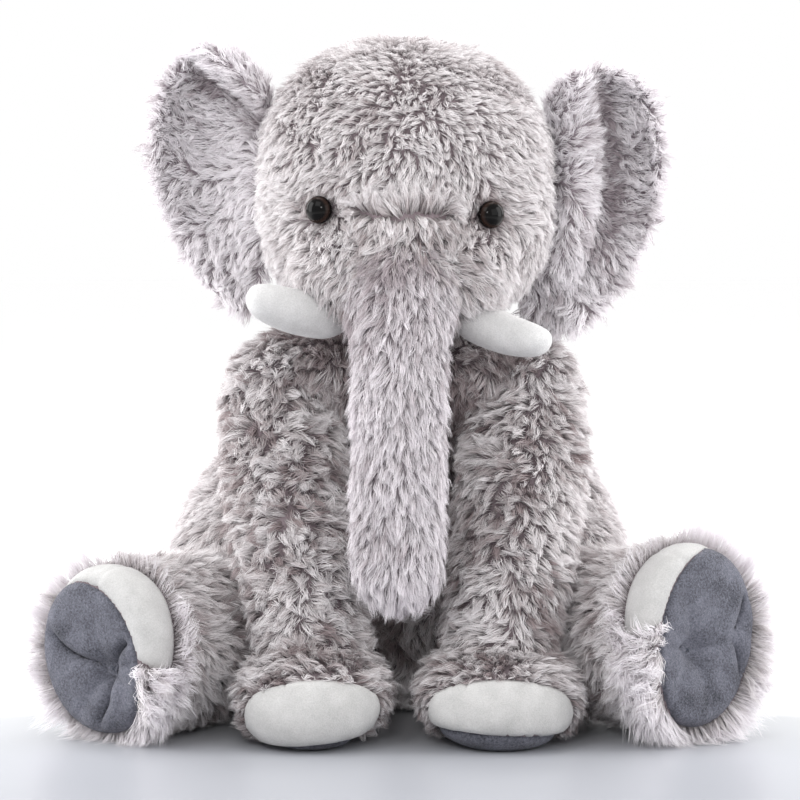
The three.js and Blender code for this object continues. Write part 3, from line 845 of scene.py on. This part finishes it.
def groom_head(p, n):
    x, y, z = p.T
    lie = np.tile(DOWN, (len(p), 1))
    lie[:, 0] += 0.9 * np.clip((x - 4) / 60, -1, 1)
    lie[:, 1] -= 0.15
    wide = 36 + 0.45 * np.clip(335 - z, 0, 60)
    bridge = np.exp(-(((x - 2) / wide) ** 4)) * smoothstep(340, 330, z) * (y < -60)
    fan = np.stack([0.016 * (x - 2), 0 * x - 0.4, 0 * x - 1.0], 1)
    lie = lie * (1 - bridge[:, None]) + fan * bridge[:, None]
    crest = z + 0.004 * (x - 3) ** 2 + 2.5 * RUFFLE(p)
    part = np.exp(-(((x - 3) / 36) ** 4)) * smoothstep(330, 333, crest)
    part = part * smoothstep(352, 338, z) * (y < -60)
    aside = np.stack([0.3 * np.clip((x - 3) / 40, -1, 1), 0 * x - 0.3, 0 * x + 0.95], 1)
    lie = lie * (1 - 0.85 * part[:, None]) + aside * (0.85 * part[:, None])
    length = 12 + 2.5 * bridge
    length -= 2.5 * smoothstep(330, 380, z) * (y < -40)
    lift = const(p, 0.62)
    density = 1 + 1.4 * np.exp(-(((crest - PARTING) / 7) ** 2)) * (np.abs(x - 3) < 45) * (y < -60)
    # Painted light: the sides of the head are paler, standing for the side light on them.
    tone = 0.52 + 0.15 * smoothstep(50, 90, np.abs(x - 4)) - 0.14 * bridge - 0.06 * part
    for side in SIDES.values():
        seat, out = eye_seat(side)
        d = p - seat
        far = np.linalg.norm(d, axis=1)
        close = np.exp(-((far / 15) ** 2))
        away = unit(d - n * (d * n).sum(1)[:, None])
        lie = lie * (1 - close[:, None]) + (away * 0.9 + np.array([0, 0, 0.1])) * close[:, None]
        length = length * (1 - 0.6 * np.exp(-((far / 14) ** 2)))
        lift = lift * (1 - 0.45 * close)
        density = np.where(far < 7.2, 0, density)
        # Painted shade: the pile darkens round each eye, standing for the shade in the eye's socket.
        tone = tone - 0.6 * np.exp(-((far / 13) ** 2))
    return lie, length, lift, density, tone


def groom_torso(p, n):
    x, y, z = p.T
    lie = np.tile(DOWN, (len(p), 1))
    lie[:, 0] += 0.5 * np.clip(x / 120, -1, 1)
    length = const(p, 14.0)
    density = const(p, 1.0)
    density[z < 4] = 0.25
    density[(z > 276) | ((z > 250) & (y < -15))] = 0
    # Painted light and shade: the flanks are paler, standing for the side light, and the front between the
    # arms is darker, standing for the shade there.
    tone = 0.45 + 0.5 * smoothstep(90, 150, np.abs(x)) - 0.25 * smoothstep(60, 0, y) * (z > 40)
    return lie, length, const(p, 0.6), density, tone


def groom_trunk(low, high):
    """The trunk's pile from one height to another, in mm."""

    def groom(p, n):
        x, y, z = p.T
        fan = smoothstep(120, 92, z)
        radial = unit(np.stack([x + 1, y + 136, 0 * z], 1))
        lie = np.tile(DOWN, (len(p), 1)) + radial * (0.25 * fan)[:, None]
        step = 1.5 * np.maximum(0, np.sin(z * 2 * np.pi / 52 + 0.6)) ** 3
        tone = 0.42 + 0.13 * smoothstep(260, 180, z) - 0.3 * smoothstep(288, 298, z)
        tone = tone + 0.06 * np.sign(step) + 0.25 * fan
        density = 1.0 * ((z > low) & (z <= high))
        return lie, 12.5 + step + 5 * fan, const(p, 0.42), density, tone

    return groom


def groom_arm(side):
    fx = side["foot"]

    def groom(p, n):
        x, y, z = p.T
        lie = np.tile(DOWN, (len(p), 1))
        mid = side["shoulder"][0] + (fx - side["shoulder"][0]) * smoothstep(215, 30, z)
        lie[:, 0] += 0.55 * np.clip((x - mid) / 35, -1, 1)
        foot = smoothstep(80, 50, z)
        lie[:, 0] += foot * 0.9 * np.clip((x - fx) / 40, -1, 1)
        lie[:, 1] -= foot * 0.6
        length = const(p, 13.0)
        toe = smoothstep(-14, -2, toe_field(side, p)) * smoothstep(90, 60, z)
        lie[:, 2] += 0.9 * toe * smoothstep(30, 42, z)
        density = const(p, 1.0)
        density[toe_field(side, p) > 0] = 0
        density[slate_field(side, p) > -1] = 0
        # Painted shade: the lower back of each arm, where it meets the body, is darker.
        tone = 0.45 - 0.25 * smoothstep(150, 110, z) * smoothstep(-40, 0, y)
        return lie, length * (1 - 0.35 * toe), 0.6 + 0.25 * toe, density, tone

    return groom


def groom_leg(side):
    axes, hip, reach = side["leg_axes"], np.array(side["hip"], float), side["leg_reach"]

    def groom(p, n):
        local = (p - hip) @ axes.T
        radial = unit(local * [1, 1, 0]) @ axes
        near_sole = smoothstep(reach - 45, reach - 8, local[:, 2])
        rim = smoothstep(reach - 22, reach - 10, local[:, 2])
        lie = np.tile(DOWN * 0.6 - axes[2] * 0.5, (len(p), 1))
        lie = lie + radial * (0.7 * near_sole)[:, None]
        length = 14 + 6 * near_sole
        bare = np.maximum(sole_field(side, p), band_field(side, p))
        density = np.where(bare > 0, 0.0, 1.0)
        density[p[:, 2] < 5] *= 0.3
        density[local[:, 2] < -25] = 0
        # Painted shade: the leg is darker towards the hip, standing for the shade beside the arm.
        tone = 0.42 + 0.33 * near_sole
        return lie, length, 0.55 + 0.15 * near_sole + 0.2 * rim, density, tone

    return groom


def groom_fringe(side):
    """Long pale pile in a ring behind the edge of a hind foot's sole."""
    axes, hip, reach = side["leg_axes"], np.array(side["hip"], float), side["leg_reach"]

    def groom(p, n):
        local = (p - hip) @ axes.T
        radial = unit(local * [1, 1, 0]) @ axes
        bare = np.maximum(sole_field(side, p), band_field(side, p))
        ring = smoothstep(reach - 34, reach - 22, local[:, 2]) * (bare < 0) * (p[:, 2] > 4)
        lie = radial * 0.9 + axes[2] * 0.5 + np.array([0, 0, 0.15])
        return lie, const(p, 26.0), const(p, 0.95), ring, const(p, 0.9)

    return groom


# ---- body pieces

neck_bend = bending()
plush("torso", torso, GREY_BACKING, neck_bend)
add_pile("torso_pile", grow(torso, groom_torso), GREY_FUR, neck_bend)

plush("head", head, GREY_BACKING, riding("head"))
head_pile = grow(head, groom_head, ruffle=0.5, patchy=0.07, variation=0.11)
add_pile("head_pile", head_pile, GREY_FUR, riding("head"))

# The height at which the trunk's two lengths of pile meet, in mm.
MEET = 196
upper_bend = bending()
lower_bend = bending()
for part, surface, bend, span in (
    ("trunk_upper", trunk_upper, upper_bend, (MEET, 312)),
    ("trunk_lower", trunk_lower, lower_bend, (0, MEET)),
):
    plush(part, surface, PALE_BACKING, bend)
    pile = grow(surface, groom_trunk(*span), swirl=0.12, ruffle=0.2, stray=0.18)
    add_pile(f"{part}_pile", pile, PALE_FUR, bend)


def puffed(surface, edge, height, round_off=4.0):
    """A panel lifted off the surface that it was cut from, rounding down to its seams.

    edge is how far each point is inside the panel, in mm.
    """
    lift = height * np.sqrt(np.clip(edge / round_off, 0, 1)) - 1.0 * (edge <= 0.01)
    return Surface(surface.points + surface.normals * (lift * MM)[:, None], surface.triangles)


def in_mm(surface):
    return surface.points / MM - SHIFT


def grooved(surface, lines, width, depth):
    """A surface with seams drawn in. lines are each point's distance from each seam, in mm."""
    dent = sum(depth * np.exp(-((line / width) ** 2)) for line in lines)
    surface.points = surface.points - surface.normals * (dent * MM)[:, None]


def add_stitch(name, side, sole):
    """Two crossed thread stitches lying at the bottom of a sole's dimple."""
    u, v, _ = sole_place(side, in_mm(sole))
    mid = np.argmin(np.hypot(u - side["dimple"][0], v - side["dimple"][1]))
    centre = in_mm(sole)[mid]
    x, y, z = side["leg_axes"]
    bars = []
    for turn in (0.6, 2.2):
        reach = x * math.cos(turn) + y * math.sin(turn)
        axes = axes_along((0, 0, 0), reach, z)
        rows = [
            [-3, 0, 0, 0, -0.8], [-2.8, 0.5, 0.5, 0, -0.6], [0, 0.6, 0.6, 0, 0.5],
            [2.8, 0.5, 0.5, 0, -0.6], [3, 0, 0, 0, -0.8],
        ]
        bars.append(loft(rows, 0, centre, axes, around=10))
    limb = f"leg_{name}"
    skin(f"{limb}_stitch", melt(bars, 0.35, 2), THREAD, riding(limb), [f"{limb}_dimple_thread"])


for name, side in SIDES.items():
    limb = f"arm_{name}"
    limb_bend = bending()
    arm = arms[name]
    p = in_mm(arm)
    front = clip(arm, toe_field(side, p))
    toe = clip(front, -slate_field(side, in_mm(front)))
    q = in_mm(toe)
    edge = np.minimum(toe_field(side, q), -slate_field(side, q))
    toe = puffed(toe, edge, 4.2)
    middle = side["foot"] + side["patch_shift"]
    grooved(toe, [q[:, 0] - middle - offset - 0.1 * (q[:, 2] - 20) for offset in (-22, 22)], 1.3, 0.6)
    toe.points[:, 2] = np.maximum(toe.points[:, 2], 0.0005)
    toe.normals = toe.made_normals()
    slate = clip(arm, slate_field(side, p))
    q = in_mm(slate)
    slate = puffed(slate, slate_field(side, q), 3.6)
    slate.points[:, 2] = np.maximum(slate.points[:, 2], 0.0003)
    slate.normals = slate.made_normals()
    plush(limb, arm, GREY_BACKING, limb_bend)
    add_pile(f"{limb}_pile", grow(arm, groom_arm(side), **side["arm_pile"]), GREY_FUR, limb_bend)
    skin(f"{limb}_toe", toe, WHITE_FLEECE, riding(limb), [f"{limb}_toe_panel"])
    skin(f"{limb}_slate", slate, SLATE_FLEECE, riding(limb), [f"{limb}_sole"])

    limb = f"leg_{name}"
    leg = legs[name]
    limb_bend = bending()
    p = in_mm(leg)
    sole = clip(leg, sole_field(side, p))
    q = in_mm(sole)
    sole = puffed(sole, sole_field(side, q), 2.6, 3.0)
    band = clip(leg, band_field(side, p))
    band = clip(band, -sole_field(side, in_mm(band)) + 0.2)
    q = in_mm(band)
    band = puffed(band, np.minimum(band_field(side, q), -sole_field(side, q) + 0.2), 2.6, 4.5)
    q = in_mm(band)
    u, v, _ = sole_place(side, q)
    nu, nv = side["band"][0]
    grooved(band, [u * nv - v * nu + 16], 1.4, 0.7)
    plush(limb, leg, GREY_BACKING, limb_bend)
    add_pile(f"{limb}_pile", grow(leg, groom_leg(side), tuft=4.4, ruffle=0.5), GREY_FUR, limb_bend)
    add_pile(f"{limb}_fringe", grow(leg, groom_fringe(side), width=0.4, clump=0.5), EAR_FUR, limb_bend)
    skin(f"{limb}_slate", sole, SLATE_FLEECE, riding(limb), [f"{limb}_sole"])
    skin(f"{limb}_toe", band, WHITE_FLEECE, riding(limb), [f"{limb}_toe_panel"])
    add_stitch(name, side, sole)

# ---- tusks

for name, side in SIDES.items():
    base, tip = (np.array(v, float) for v in side["tusk"])
    axes = axes_along(base, tip)
    long = np.linalg.norm(tip - base)
    r = side["tusk_radius"]
    stations = [
        [-14, 0, 0, 0, 0], [-12, 9, 9, 0, 0], [0, r, r, 0, -1], [long * 0.25, r, r, 0, -2.6],
        [long * 0.5, r * 0.94, r * 0.94, 0, -3.2], [long * 0.75, r * 0.83, r * 0.83, 0, -2.2],
        [long * 0.9, r * 0.66, r * 0.66, 0, -1.0], [long * 0.97, r * 0.42, r * 0.42, 0, -0.2],
        [long, 0, 0, 0, 0],
    ]
    horn = melt([loft(stations, 0.4, base, axes, around=32)], 2.0, 3)
    plush(f"tusk_{name}", horn, TUSK_FLEECE, riding("head"))

# ---- eyes

EYE = Finish("eye", Roughness=0.06, Specular_IOR_Level=0.12)
# Black to near the rim, with a thin dark brown ring there.
EYE_RING = [
    (0.0, srgb(4, 4, 5)),
    (0.7, srgb(7, 5, 5)),
    (0.8, srgb(32, 21, 17)),
    (0.9, srgb(38, 25, 20)),
    (0.97, srgb(8, 6, 6)),
]
EYE.link(EYE.ramp(EYE.uv_parts(), "X", EYE_RING), "Color", EYE.shader, "Base Color")

for name, side in SIDES.items():
    seat, out = eye_seat(side)
    axes = axes_along((0, 0, 0), out)
    rows, around, radius = 16, 48, 8.8
    points, uv = [], []
    for r in range(rows + 1):
        t = math.pi / 2 * r / rows
        for k in range(around):
            turn = 2 * math.pi * k / around
            across = radius * math.sin(t)
            points.append([across * math.cos(turn), across * math.sin(turn), 1.0 + 6.5 * math.cos(t)])
            uv.append([math.sin(t) * 0.99, k / around])
    for k in range(around):
        turn = 2 * math.pi * k / around
        points.append([7.6 * math.cos(turn), 7.6 * math.sin(turn), -2.5])
        uv.append([0.99, k / around])
    tri = []
    for r, (a, b, c, d) in quads(rows + 1, around):
        if r > 0:
            tri.append((a, c, b))
        tri.append((a, d, c))
    place = (np.array(points) @ axes + seat + SHIFT) * MM
    eye = add_mesh(f"eye_{name}_dome", place, np.array(tri), EYE.material, np.array(uv))
    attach(eye, "head")
    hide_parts(f"eye_{name}")

# ---- ears

# Each ear's outline from the centre, in mm: outward, up.
EAR_OUTLINE = {
    "right": (
        [(-40, 62), (-24, 80), (2, 87), (22, 76), (33, 52), (37, 15), (29, -22)]
        + [(14, -52), (-4, -74), (-22, -86), (-34, -70), (-38, -30), (-40, 20)]
    ),
    "left": (
        [(-40, 62), (-22, 78), (4, 80), (24, 70), (36, 42), (38, 8), (30, -30)]
        + [(15, -62), (-6, -86), (-28, -92), (-46, -78), (-45, -34), (-40, 20)]
    ),
}


def fold_right(u, v):
    """Above 0 on the flap at the top of the right ear that is folded forward, in mm from its edge."""
    return (v - 47 - 0.85 * (u + 34)) / 1.31


def fold_left(u, v):
    """Above 0 on the flap of the left ear that stands forward beside the head, in mm from its edge."""
    return -(u + 4) - 0.0022 * (v - 10) ** 2


def ear_depth(name, u, v):
    """How far forward of the ear's root plane its middle layer lies, in mm."""
    edge = np.hypot(u / 40, v / 88)
    rim = 9 * smoothstep(0.72, 1.05, edge) * smoothstep(-30, 0, u)
    if name == "right":
        above = fold_right(u, v)
        cup = -12 * np.exp(-(((u - 2) / 22) ** 2) - ((v - 14) / 46) ** 2)
        lip = 20 * smoothstep(-2, 4, above) * smoothstep(36, 8, above)
        root = 7 * smoothstep(-14, -34, u) * smoothstep(30, -10, v)
        ripple = 2.5 * np.sin(v / 17 + 0.6) * smoothstep(30, -20, v)
    else:
        beside = fold_left(u, v)
        cup = -13 * np.exp(-(((u - 8) / 20) ** 2) - ((v - 26) / 44) ** 2)
        lip = 7 * smoothstep(58, 80, v)
        root = 18 * smoothstep(-2, 5, beside) * smoothstep(40, 12, beside) * smoothstep(-75, -30, v)
        ripple = 1.5 * np.sin(v / 21) * smoothstep(10, -40, v)
    return cup + rim + lip + root + ripple + 6


def ear_mesh(name, side):
    """An ear as two layers that meet at the rim, from rings that shrink to its middle."""
    rim = curve(EAR_OUTLINE[name] + [EAR_OUTLINE[name][0]], 6)[:-1]
    around, rings = len(rim), 26
    front, back, flat = [], [], []
    for r in range(rings + 1):
        t = r / rings
        uv = rim * t
        puff = 5.0 * np.sqrt(np.clip(1 - t**4, 0, 1)) + 0.4
        depth = ear_depth(name, uv[:, 0], uv[:, 1])
        front.append(np.stack([uv[:, 0], depth + puff / 2, uv[:, 1]], 1))
        back.append(np.stack([uv[:, 0], depth - puff / 2, uv[:, 1]], 1))
    front, back = np.vstack(front), np.vstack(back)
    points = np.vstack([front, back])
    tri = []
    for layer in range(2):
        for r, face in quads(rings, around):
            a, b, c, d = (layer * len(front) + i for i in face)
            pair = [(a, d, c), (a, c, b)] if r else [(a, d, c)]
            tri += pair if layer == 0 else [t[::-1] for t in pair]
    base = rings * around
    for k in range(around):
        n = (k + 1) % around
        a, b = base + k, base + n
        c, d = base + n + len(front), base + k + len(front)
        tri += [(a, d, c), (a, c, b)]
    tri = np.array(tri)
    roll = side["sign"] * side["ear_roll"]
    x, forward, z = side["sign"] * points[:, 0], -points[:, 1], points[:, 2]
    turned_x = x * math.cos(roll) + z * math.sin(roll)
    turned_z = z * math.cos(roll) - x * math.sin(roll)
    place = np.stack([turned_x, forward, turned_z], 1) + np.array(side["ear"], float)
    if side["sign"] > 0:
        tri = tri[:, ::-1]
    return Surface((place + SHIFT) * MM, tri.astype(np.int32))


def groom_ear(name, side):
    centre = np.array(side["ear"], float)
    root = centre + np.array([-side["sign"] * 46, 0, 6])

    def groom(p, n):
        d = p - centre
        u, v = side["sign"] * d[:, 0], d[:, 2]
        away = unit((p - root) * [1, 0, 0.75])
        lie = away + np.array([0, 0, -0.25])
        edge = smoothstep(0.74, 0.98, np.hypot(u / 38, v / 86)) * smoothstep(-30, -8, u)
        length = 11.5 + 2 * edge
        front = n[:, 1] < 0
        if name == "right":
            under = np.exp(-(((fold_right(u, v) + 7) / 8) ** 2)) * smoothstep(20, -4, u)
            hollow = 0.4 * np.exp(-(((u - 16) / 12) ** 2) - ((v - 20) / 34) ** 2)
        else:
            under = np.exp(-(((fold_left(u, v) + 9) / 9) ** 2)) * smoothstep(-60, 0, v)
            hollow = np.exp(-(((u - 10) / 14) ** 2) - ((v - 34) / 34) ** 2)
        # Painted shade under the folded flap and in the ear's hollow, and painted light along the rim.
        tone = np.where(front, 0.68 - 0.6 * under - 0.2 * hollow + 0.3 * edge, 0.6)
        return lie, length - 4 * under * front, 0.5 + 0.1 * edge, const(p, 1.0), tone

    return groom


for name, side in SIDES.items():
    ear = ear_mesh(name, side)
    ear_bend = bending()
    skin(
        f"ear_{name}_plush",
        ear,
        PALE_BACKING,
        ear_bend,
        [f"ear_{name}_front_panel", f"ear_{name}_back_panel"],
    )
    add_pile(f"ear_{name}_pile", grow(ear, groom_ear(name, side), swirl=0.3, ruffle=0.4), EAR_FUR, ear_bend)

# ---- tail

tail_root, tail_tip = np.array([0, 140, 78.0]), np.array([0, 173, 32.0])
tail_axes = axes_along(tail_root, tail_tip)
tail_long = np.linalg.norm(tail_tip - tail_root)
TAIL = [
    [-10, 0, 0], [-6, 7, 7], [0, 8, 8], [10, 7, 7], [tail_long * 0.6, 5.5, 5.5],
    [tail_long * 0.85, 5, 5], [tail_long * 0.95, 0, 0],
]
tail = melt([loft(TAIL, 0, tail_root, tail_axes)], 2.5, 2)


def groom_tail(p, n):
    along = (p - tail_root) @ tail_axes[2]
    end = smoothstep(tail_long * 0.55, tail_long * 0.8, along)
    lie = np.tile(tail_axes[2], (len(p), 1))
    return lie, 7 + 5 * end, const(p, 0.35), const(p, 1.6), 0.45 + 0.2 * end


tail_bend = bending()
skin("tail_plush", tail, GREY_BACKING, tail_bend, ["tail_skin", "tail_tuft"])
add_pile("tail_pile", grow(tail, groom_tail, tuft=3.5), GREY_FUR, tail_bend)

# ---- pieces carried over from the frame

SATIN = grained_material(
    "satin",
    "TexWave",
    dict(Roughness=0.38, Anisotropic=0.5),
    dict(Scale=700, Distortion=1.2),
    [(0.0, srgb(226, 226, 222)), (1.0, srgb(244, 244, 241))],
)
WASHER = grained_material(
    "moulded_washer",
    "TexNoise",
    dict(Roughness=0.5),
    dict(Scale=1200),
    [(0.3, srgb(220, 220, 214)), (0.7, srgb(232, 232, 226))],
)
for node, finish in {
    "care_label": SATIN,
    "eye_washer_right": WASHER,
    "eye_washer_left": WASHER,
}.items():
    carried = frame["nodes"][node]
    carried.data.materials.clear()
    carried.data.materials.append(finish)

# ---- floor

# The floor lies just under the toy, and reaches this far each way, in metres.
FLOOR_Z = -0.0006
FLOOR_HALF = 9
floor_corners = [(x * FLOOR_HALF, y * FLOOR_HALF, FLOOR_Z) for x, y in ((-1, -1), (1, -1), (1, 1), (-1, 1))]
floor_mesh = bpy.data.meshes.new("floor")
floor_mesh.from_pydata(floor_corners, [], [(0, 1, 2, 3)])
floor = bpy.data.objects.new("floor", floor_mesh)
scene.collection.objects.link(floor)
# The floor is painted pale grey in front of the toy, a painted shade, and fades to white further off.
FLOOR = Finish("floor", Roughness=0.35)
floor_move = FLOOR.add("Mapping", Location=(0, 0.9, 0), Scale=(1.3, 2.0, 0))
FLOOR.object_place(floor_move)
floor_far = FLOOR.add("VectorMath")
floor_far.operation = "LENGTH"
FLOOR.link(floor_move, "Vector", floor_far, 0)
FLOOR_TONES = [
    (0.0, srgb(149, 151, 157)),
    (0.35, srgb(156, 158, 164)),
    (0.63, srgb(169, 171, 177)),
    (0.9, srgb(185, 187, 190)),
    (1.0, srgb(255, 255, 255)),
]
FLOOR.link(FLOOR.ramp(floor_far, "Value", FLOOR_TONES), "Color", FLOOR.shader, "Base Color")
floor_mesh.materials.append(FLOOR.material)
